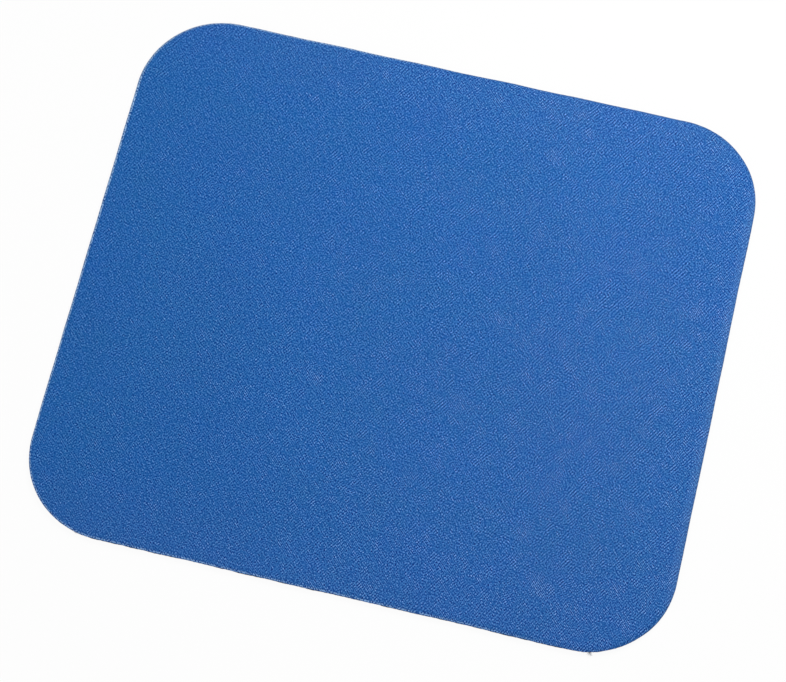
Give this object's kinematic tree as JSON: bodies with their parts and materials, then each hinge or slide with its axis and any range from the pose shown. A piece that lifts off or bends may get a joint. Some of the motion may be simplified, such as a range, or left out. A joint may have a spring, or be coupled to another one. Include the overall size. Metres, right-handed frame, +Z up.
{
  "type": "mouse pad",
  "caption": "Soft rectangular mouse pad with rounded corners: knitted cloth face bonded to a foam rubber base, die cut with a rolled edge.",
  "frame": {"origin": "on the desk, under the middle of the pad", "axes": "+X along the long side, to the right for the user; +Y across the pad, away from the user; +Z up, out of the cloth face"},
  "size_m": [0.25, 0.22, 0.003],
  "materials": {
    "cloth": "matte blue polyester knit with a fine diagonal grain",
    "bond": "dull translucent adhesive",
    "foam": "matte black open-cell foam rubber, finely embossed underneath"
  },
  "bodies": {
    "root": {"cloth_cover": "cloth", "bond_film": "bond", "foam_base": "foam"}
  },
  "joints": []
}
